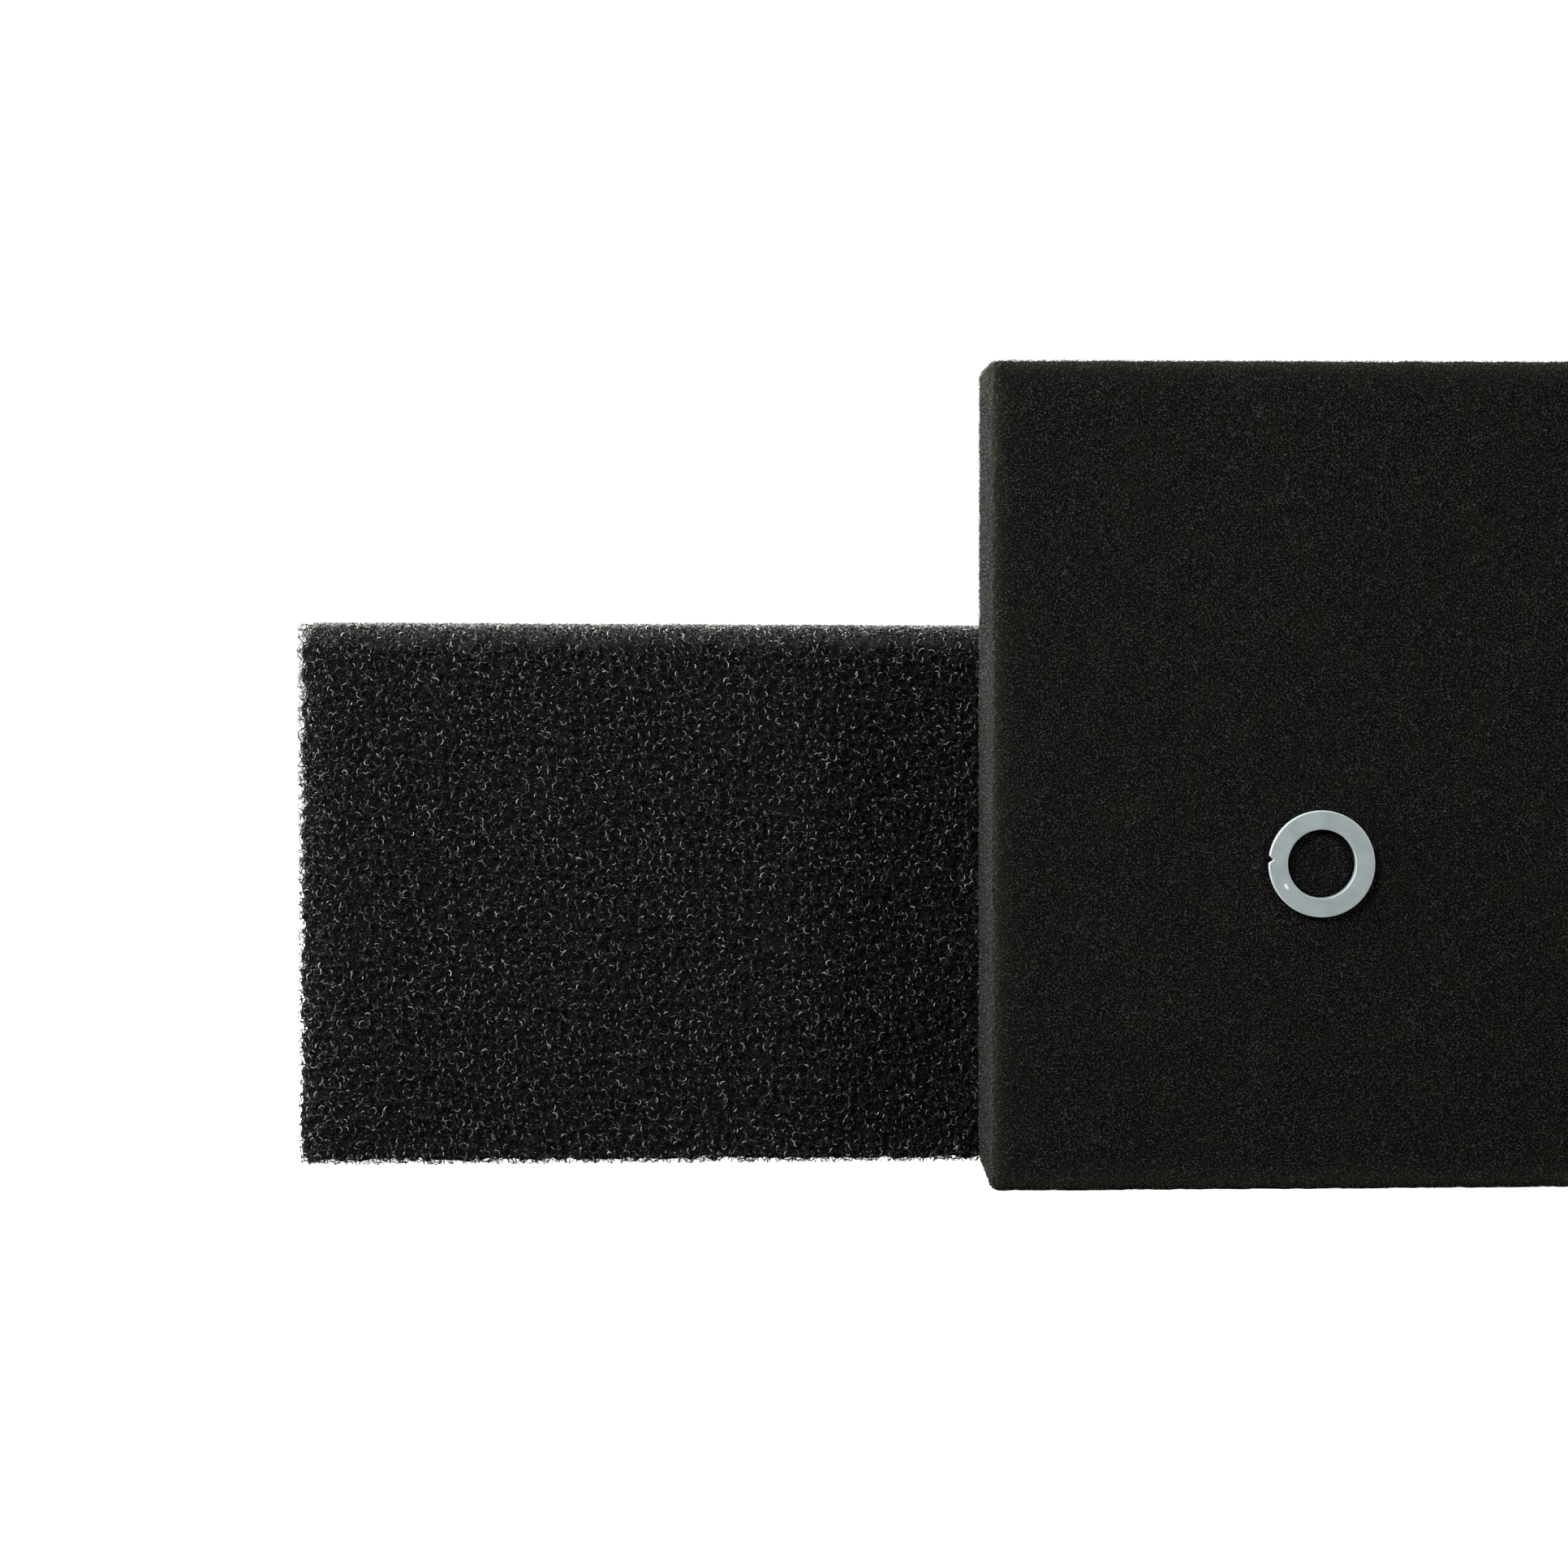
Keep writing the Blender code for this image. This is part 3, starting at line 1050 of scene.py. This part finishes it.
def rim_centres(settings, box, axis, far, rng):
    """Centres and radii of the rims in one face.

    They stand on a staggered grid, each moved at random, and are as deep as a
    random share of a pore's radius.
    """
    low, high = box
    pitch = settings.rim_spacing
    flat = [a for a in range(3) if a != axis]
    size = (high - low)[flat]
    rows = np.indices(np.maximum(1, np.round(size / pitch)).astype(int)).reshape(2, -1).T
    spot = (rows + 0.5) * pitch
    spot[:, 0] += rows[:, 1] % 2 * pitch / 2
    spot += rng.uniform(-RIM_STRAY, RIM_STRAY, spot.shape) * pitch
    radii = settings.rim_radius * rng.uniform(*RIM_SIZES, len(spot))
    centres = np.empty((len(spot), 3))
    centres[:, flat] = low[flat] + spot % size
    deep = rng.uniform(*RIM_DEPTHS, len(spot)) * settings.rim_radius
    centres[:, axis] = high[axis] - deep if far else low[axis] + deep
    return centres, radii


def rim_planes(count, axis, rng):
    """Two unit directions for each rim: near the face's own, tilted at random, and square."""
    first, second = [a for a in range(3) if a != axis]
    across, up = rng.normal(0, RIM_TILT, (count, 3)), np.zeros((count, 3))
    across[:, first] += 1
    up[:, second] = 1
    across = units(across)
    return across, units(up - across * (across * up).sum(1)[:, None])


def make_coarse_rims(settings, box):
    """The rims of the cut pores: bent rods over the faces of the coarse foam, most upright."""
    rng = np.random.default_rng(settings.seed + SEED_STEPS["rims"])
    finish = coarse_rim_finish(settings)
    for name, axis, far in FACES[:-1]:
        centres, radii = rim_centres(settings, box, axis, far, rng)
        count = len(centres)
        planes = rim_planes(count, axis, rng)
        span = rng.uniform(*RIM_SPANS, count)
        side = rng.integers(0, 2, count) * math.pi
        first = side + rng.normal(0, RIM_TURN, count) - span / 2
        width = settings.rim_width * rng.uniform(*UNEQUAL, count)
        points, faces = rod_mesh(centres, *planes, radii, first, span, width)
        points = slanted(np.clip(points, *box), *box, settings.slant)
        # Painted highlights: how pale each rim is.
        highlight_tone = np.repeat(rng.random(count) ** RIM_POWER, ROD_POINTS)
        pieces = math.ceil(len(faces) / MOST_TRIANGLES)
        for number, part in enumerate(np.array_split(np.arange(count), pieces), 1):
            own = slice(part[0] * ROD_POINTS, (part[-1] + 1) * ROD_POINTS)
            here = faces[part[0] * ROD_FACES:(part[-1] + 1) * ROD_FACES] - own.start
            label = f"coarse_rims_{name}_{number}"
            put_foam_piece(label, points[own], here, highlight_tone[own], finish, box, axis, COARSE_HOME)


def ragged_edge(places, reach, spacing, rng):
    """How far a ragged edge stands back at each place along it, in random notches."""
    count = math.ceil(np.ptp(places) / spacing) + 2
    notches = NOTCH_LEAST + (1 - NOTCH_LEAST) * rng.random(count) ** NOTCH_POWER
    return np.interp((places - places.min()) / spacing, np.arange(count), reach * notches)


def make_coarse_core(settings, box):
    """The dark middle: a closed block with pits and a ragged outline.

    Near the top its depth shrinks towards the middle of the slab, and each of
    its four edges stands back from the slab's face in random notches.
    """
    rng = np.random.default_rng(settings.seed + SEED_STEPS["core_edges"])
    low, high = (corner.copy() for corner in box)
    low[1] += settings.front_depth
    high[1] -= settings.back_depth
    spacing = settings.cell * CORE_SPACING
    steps = np.maximum(1, np.round((high - low) / spacing)).astype(int)
    steps[1] = max(1, steps[1] // 3)
    points, faces = box_grid(low, high, steps)
    points, out = worn(points, low, high, CORE_ROUNDING, CORE_ROUNDING)
    width = settings.cell * CORE_PIT_WIDTH
    pits = soft_noise(points, width, settings.seed + SEED_STEPS["core_pits"])
    points -= out * (1 + pits)[:, None] * CORE_PIT
    away = ((high[2] - points[:, 2]) / THIN_REACH).clip(0, 1)
    share = THIN_EDGE + (1 - THIN_EDGE) * np.sin(away * math.pi / 2)
    middle = (low[1] + high[1]) / 2
    points[:, 1] = middle + (points[:, 1] - middle) * share
    for axis, along in ((0, 2), (2, 0)):
        part = (points[:, axis] - low[axis]) / (high - low)[axis]
        for depth, sign, near in zip(wall_depths(settings), (1, -1), (1 - part, part)):
            back = ragged_edge(points[:, along], depth[axis], spacing, rng)
            points[:, axis] += sign * back * near ** NOTCH_CLING
    points = slanted(points, *box, settings.slant)
    core = put_mesh("coarse_core", points, faces, coarse_core_finish(settings))
    finish_piece(core, *COARSE_HOME, "coarse_sponge", 1.0)


def skin_layers(low, high, depth):
    """The six layers of a box's skin, without overlaps: name, axis, low and high corners."""
    names = {1: ("front", "back"), 0: ("left", "right"), 2: ("base", "top")}
    low, high = low.copy(), high.copy()
    for axis in (1, 0, 2):
        for name, far in zip(names[axis], (False, True)):
            bottom, top = low.copy(), high.copy()
            if far:
                bottom[axis] = high[axis] - depth
            else:
                top[axis] = low[axis] + depth
            yield name, axis, bottom, top
        low[axis] += depth
        high[axis] -= depth


def slot_patch(low, high, steps, centre, settings, depth):
    """The front face around the ring's slot: where it lies, and its points and quads.

    Loops of points run from a square of the front's grid in to a circle, down
    the slot's outer wall, over its floor, up its inner wall and on to the
    middle of the face.
    """
    pitch = ((high - low) / steps)[[0, 2]]
    corner = low[[0, 2]]
    half = settings.slot_outer + 2 * pitch.max()
    first = np.floor((centre - half - corner) / pitch).astype(int)
    last = np.ceil((centre + half - corner) / pitch).astype(int)
    (i0, k0), (i1, k1) = first, last
    i = np.concatenate([np.arange(i0, i1), np.full(k1 - k0, i1), np.arange(i1, i0, -1),
                        np.full(k1 - k0, i0)])
    k = np.concatenate([np.full(i1 - i0, k0), np.arange(k0, k1), np.full(i1 - i0, k1),
                        np.arange(k1, k0, -1)])
    square = corner + np.stack([i, k], axis=1) * pitch
    angle = np.arctan2(*(square - centre).T[::-1])
    way = np.stack([np.cos(angle), np.sin(angle)], axis=1)
    outer, inner = settings.slot_outer, settings.slot_inner
    rim = centre + outer * way
    rows = [(square + (rim - square) * share, 0.0) for share in (0.0, 0.4, 0.75)]
    walls = [(outer, 0.0), (outer, 0.5), (outer, 1.0), (inner, 1.0), (inner, 0.5), (inner, 0.0)]
    middle = [(inner * share, 0.0) for share in (0.85, 0.7, 0.55, 0.4, 0.25, 0.1, 0.0)]
    rows += [(centre + radius * way, down) for radius, down in walls + middle]
    points = [
        np.stack([at[:, 0], np.full(len(at), low[1] + down * depth), at[:, 1]], axis=1)
        for at, down in rows
    ]
    bounds = corner + first * pitch, corner + last * pitch
    return bounds, np.concatenate(points), band((len(rows), len(square)))


def slotted_block(low, high, spacing, centre, settings, depth):
    """Points and triangles of a box with a round slot in its front."""
    steps = np.round((high - low) / spacing).astype(int)
    points, quads = box_grid(low, high, steps)
    (bottom, top), slot_points, slot_quads = slot_patch(low, high, steps, centre, settings, depth)
    middle = points[quads].mean(1)
    flat = middle[:, [0, 2]]
    replaced = (middle[:, 1] < low[1] + WELD) & ((flat > bottom) & (flat < top)).all(1)
    faces = np.concatenate([quads[~replaced], slot_quads + len(points)])
    return welded(np.concatenate([points, slot_points]), triangles(faces))


def make_fine_foam(settings):
    """The fine foam: a dark pitted block under a skin of real strands."""
    low, high = corners_of("fine_sponge")
    ring_low, ring_high = corners_of("port_ring")
    centre = np.array([ring_high[0], ring_high[2]]) - (ring_high[2] - ring_low[2]) / 2
    make_fine_block(settings, low, high, centre, ring_high[1])
    make_fine_strands(settings, low, high, centre)


def make_fine_block(settings, low, high, centre, ring_back):
    """The dark block under the strands, with pits and the ring's slot."""
    skin = settings.skin * SUNK
    low, high = low + [skin, skin, 0], high - skin
    depth = ring_back + SLOT_ROOM - low[1]
    points, faces = slotted_block(low, high, settings.grid, centre, settings, depth)
    # Nearness to the block's edges, for the painted light on them.
    lit_edge = edge_closeness(points, low, high, LIT_EDGE_REACH)
    points, out = worn(points, low, high, settings.worn_rounding, settings.rounding)
    width, height = LUMP
    lump = np.abs(soft_noise(points, width, settings.seed + SEED_STEPS["lumps"])) * height
    width = settings.pore * PIT_WIDTH
    pit = np.abs(soft_noise(points, width, settings.seed + SEED_STEPS["pits"]))
    points = points - out * (lump + pit * settings.roughness)[:, None]
    finish = fine_block_finish(settings)
    block = put_mesh("fine_core", points, faces, finish, marks={"lit_edge": lit_edge})
    finish_piece(block, *FINE_HOME, "fine_sponge", 1.0)


def make_fine_strands(settings, low, high, centre):
    """The open strands of the cut faces, and a deeper fringe of them along the edges."""
    rng = np.random.default_rng(settings.seed + SEED_STEPS["fine_strands"])
    finish = fine_strand_finish(settings)
    network = cell_network(FINE_BLOCK, settings.pore, settings.disorder, settings.seed)
    for name, axis, bottom, top in skin_layers(low, high, settings.skin):
        if name == "base":
            continue
        slab = rng.uniform(0, network[2][axis])
        starts, ends = sliced(*network, axis, bottom, top, slab)
        share = settings.back_share if name == "back" else settings.share
        kept = rng.random(len(starts)) < share
        starts, ends = starts[kept], ends[kept]
        if name == "front":
            middle = ((starts + ends) / 2)[:, [0, 2]]
            radius = lengths(middle - centre)
            clear = (radius < settings.slot_inner) | (radius > settings.slot_outer)
            starts, ends = starts[clear], ends[clear]
        starts, ends = worn_strands(settings, starts, ends, low, high, axis, rng)
        label = f"fine_strands_{name}"
        put_strands(label, starts, ends, settings, finish, (low, high), axis, FINE_HOME, rng)
    make_fine_fringe(settings, network, finish, low, high, rng)


def worn_strands(settings, starts, ends, low, high, axis, rng):
    """Strands drifted along the face, cut off unevenly and bent round the box's worn edges."""
    width, reach = FINE_DRIFT
    reach = np.where(np.arange(3) == axis, 0.0, reach)
    seed = settings.seed + SEED_STEPS["fine_drift"]
    starts, ends = (drifted(at, width, reach, seed) for at in (starts, ends))
    uneven = rng.uniform(0, FINE_RAGGED, starts.shape)
    starts, ends = trimmed(starts, ends, low + uneven, high - uneven)
    length = lengths(ends - starts)
    kept = (length > SHORTEST_STRAND * settings.pore) & (length < LONGEST_STRAND * settings.pore)
    shape = low, high, settings.worn_rounding, settings.rounding
    return worn(starts[kept], *shape)[0], worn(ends[kept], *shape)[0]


def make_fine_fringe(settings, network, finish, low, high, rng):
    """Loose strands along the twelve edges."""
    found = []
    for axis, first, second in np.ndindex(3, 2, 2):
        bottom, top = low.copy(), high.copy()
        for other, far in zip([a for a in range(3) if a != axis], (first, second)):
            if far:
                bottom[other] = high[other] - FRINGE
            else:
                top[other] = low[other] + FRINGE
        found.append(sliced(*network, (axis + 1) % 3, bottom, top, 0.0))
    starts, ends = (np.concatenate([pair[k] for pair in found]) for k in (0, 1))
    starts, ends = worn_strands(settings, starts, ends, low, high, 1, rng)
    put_strands("fine_fringe", starts, ends, settings, finish, (low, high), 1, FINE_HOME, rng)


def rounded_outline(corners, radii, steps):
    """A closed outline with rounded corners, and three points along each straight side.

    Each corner becomes an arc of a parabola that leaves the two sides at the
    corner's radius from it.
    """
    corners, radii = np.array(corners), np.array(radii)[:, None]
    back, ahead = np.roll(corners, 1, axis=0) - corners, np.roll(corners, -1, axis=0) - corners
    start, end = corners + units(back) * radii, corners + units(ahead) * radii
    t = np.linspace(0, 1, steps)[:, None, None]
    arcs = (1 - t) ** 2 * start + 2 * t * (1 - t) * corners + t ** 2 * end
    t = np.array([0.04, 0.5, 0.96])[:, None, None]
    sides = end + (np.roll(start, -1, axis=0) - end) * t
    return np.concatenate([arcs, sides]).transpose(1, 0, 2).reshape(-1, 2)


def make_ring(settings):
    """The pipe ring: its section turned about its axis, and the rim pressed in at the nick."""
    low, high = corners_of("port_ring")
    outer = (high[2] - low[2]) / 2
    centre = np.array([high[0] - outer, 0, (low[2] + high[2]) / 2])
    bore, front, end = settings.bore / 2, low[1], high[1]
    back, spigot = front + settings.flange, bore + settings.wall
    corners = [(bore, front), (bore, end), (spigot, end), (spigot, back), (outer, back),
               (outer, front)]
    soft = settings.edge
    radii = [soft * BORE_SOFT, RING_SOFT, RING_SOFT, RING_ROOT, RING_SOFT, soft]
    outline = rounded_outline(corners, radii, 6)
    turn = np.linspace(0, 2 * math.pi, settings.segments, endpoint=False)
    radius, depth = outline[:, 0][:, None], outline[:, 1][:, None]
    away = np.abs((turn + math.pi) % (2 * math.pi) - math.pi) * outer
    notch = settings.nick_depth * (1 - away / (settings.nick_width / 2)).clip(0)
    held = outer - 2 * settings.nick_depth
    squeeze = 1 - notch[None] / (outer - held)
    radius = np.where(radius > held, held + (radius - held) * squeeze, radius + 0 * squeeze)
    angle = turn + settings.nick_angle
    points = np.stack(
        [radius * np.cos(angle), depth + 0 * radius, radius * np.sin(angle)], axis=-1
    ) + centre
    points = points.reshape(-1, 3)
    faces = facing_out(points - centre, band(radius.shape, closed=True))
    # Mask for the painted highlight on the rounded front edges.
    rim = ring_highlight_mask(outline, outer, bore, front, soft)
    marks = {"rim": np.repeat(rim, settings.segments)}
    ring = put_mesh("ring", points, faces, ring_finish(settings, centre), marks=marks)
    finish_piece(ring, "ring_body", "ring_plastic", "port_ring")


def ring_highlight_mask(outline, outer, bore, front, soft):
    """1 on the two rounded front edges of the ring's section, where the finish paints a highlight,
    0 elsewhere.
    """
    radius, depth = outline.T
    by_edge = (radius > outer - soft * 0.7) | (radius < bore + soft * 0.5)
    return (by_edge & (depth < front + soft * 1.2)).astype(float)


def aim(obj, place, target):
    """Stand an object at a place and turn its -Z towards a target."""
    obj.location = place
    way = np.array(target) - np.array(place)
    across = math.hypot(way[0], way[1])
    obj.rotation_euler = (math.atan2(across, -way[2]), 0.0, math.atan2(-way[0], way[1]))


def make_lamp(name, place, target, size, power):
    """A square soft light."""
    light = bpy.data.lights.new(name, "AREA")
    light.size = size
    light.energy = power
    lamp = bpy.data.objects.new(name, light)
    bpy.context.scene.collection.objects.link(lamp)
    aim(lamp, place, target)


def make_stage(settings):
    """White floor, white surroundings, soft lights and the camera."""
    half = settings.floor_size / 2
    points = np.array([[-half, -half, 0], [half, -half, 0], [half, half, 0], [-half, half, 0]])
    floor = put_mesh("floor", points - [0, 0, 0.1 * MM], np.array([[0, 1, 2, 3]]), floor_finish())
    floor.visible_diffuse = False
    floor.visible_glossy = False
    floor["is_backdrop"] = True
    make_surroundings()
    middle = (-0.1, 0.0, 0.12)
    make_lamp("top_light", (-0.1, 0.30, 1.1), middle, 0.8, 20.0)
    make_lamp("left_light", (-0.75, -0.85, 0.75), middle, 0.32, 18.0)
    make_lamp("right_light", (0.75, -0.90, 0.45), middle, 0.28, 9.0)
    make_lamp("side_light", (-1.0, 0.05, 0.40), middle, 0.6, 48.0)
    camera = bpy.data.objects.new("camera", bpy.data.cameras.new("camera"))
    bpy.context.scene.collection.objects.link(camera)
    camera.location = settings.camera_place
    camera.rotation_euler = (math.pi / 2, 0.0, -settings.camera_turn)
    camera.data.lens = settings.lens
    camera.data.sensor_width = 36.0
    camera.data.shift_x, camera.data.shift_y = settings.shift
    camera.data.clip_start = 0.01
    bpy.context.scene.camera = camera


def make_surroundings():
    """White for the eye, and for the light a bright back with a dim front."""
    world = bpy.data.worlds.new("studio")
    world.use_nodes = True
    bpy.context.scene.world = world
    nodes, links = world.node_tree.nodes, world.node_tree.links
    background = nodes["Background"]
    background.inputs["Color"].default_value = (1.0, 1.0, 1.0, 1.0)
    place = nodes.new("ShaderNodeTexCoord")
    split = nodes.new("ShaderNodeSeparateXYZ")
    ramp = nodes.new("ShaderNodeMapRange")
    values = {"From Min": -0.5, "From Max": 0.8, "To Min": 0.012, "To Max": 0.08}
    for name, value in values.items():
        ramp.inputs[name].default_value = value
    seen = nodes.new("ShaderNodeLightPath")
    pick = nodes.new("ShaderNodeMix")
    links.new(place.outputs["Generated"], split.inputs[0])
    links.new(split.outputs["Y"], ramp.inputs["Value"])
    links.new(seen.outputs["Is Camera Ray"], pick.inputs["Factor"])
    links.new(ramp.outputs["Result"], pick.inputs["A"])
    pick.inputs["B"].default_value = 1.05
    links.new(pick.outputs["Result"], background.inputs["Strength"])
    bpy.context.scene.view_settings.view_transform = "Standard"


# --- operators and panel ----------------------------------------------------

class FOAM_OT_coarse(bpy.types.Operator):
    """Build the coarse foam"""

    bl_idname = "filter_foam.coarse"
    bl_label = "Coarse Foam"

    def execute(self, context):
        make_coarse_foam(context.scene.coarse_foam)
        return {"FINISHED"}


class FOAM_OT_fine(bpy.types.Operator):
    """Build the fine foam"""

    bl_idname = "filter_foam.fine"
    bl_label = "Fine Foam"

    def execute(self, context):
        make_fine_foam(context.scene.fine_foam)
        return {"FINISHED"}


class FOAM_OT_ring(bpy.types.Operator):
    """Build the pipe ring"""

    bl_idname = "filter_foam.ring"
    bl_label = "Pipe Ring"

    def execute(self, context):
        make_ring(context.scene.foam_ring)
        return {"FINISHED"}


class FOAM_OT_stage(bpy.types.Operator):
    """Build the floor, lights and camera"""

    bl_idname = "filter_foam.stage"
    bl_label = "Stage"

    def execute(self, context):
        make_stage(context.scene.foam_stage)
        return {"FINISHED"}


class FOAM_PT_panel(bpy.types.Panel):
    """The foam's settings and buttons"""

    bl_label = "Filter Foam"
    bl_space_type = "VIEW_3D"
    bl_region_type = "UI"
    bl_category = "Filter Foam"

    def draw(self, context):
        for name, operator in STEPS.items():
            box = self.layout.box()
            box.operator(operator.bl_idname)
            settings = getattr(context.scene, name)
            for key in settings.__annotations__:
                box.prop(settings, key)


STEPS = {
    "coarse_foam": FOAM_OT_coarse,
    "fine_foam": FOAM_OT_fine,
    "foam_ring": FOAM_OT_ring,
    "foam_stage": FOAM_OT_stage,
}
GROUPS = {
    "coarse_foam": CoarseFoamSettings,
    "fine_foam": FineFoamSettings,
    "foam_ring": RingSettings,
    "foam_stage": StageSettings,
}
CLASSES = (*GROUPS.values(), *STEPS.values(), FOAM_PT_panel)


def register():
    for cls in CLASSES:
        bpy.utils.register_class(cls)
    for name, group in GROUPS.items():
        setattr(bpy.types.Scene, name, bpy.props.PointerProperty(type=group))


def unregister():
    for name in GROUPS:
        delattr(bpy.types.Scene, name)
    for cls in reversed(CLASSES):
        bpy.utils.unregister_class(cls)


def main():
    """Build everything."""
    register()
    bpy.ops.filter_foam.coarse()
    bpy.ops.filter_foam.fine()
    bpy.ops.filter_foam.ring()
    bpy.ops.filter_foam.stage()
    boxes = [[list(corner) for corner in box] for box in (CAD_BOX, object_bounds())]


if __name__ == "__main__":
    main()
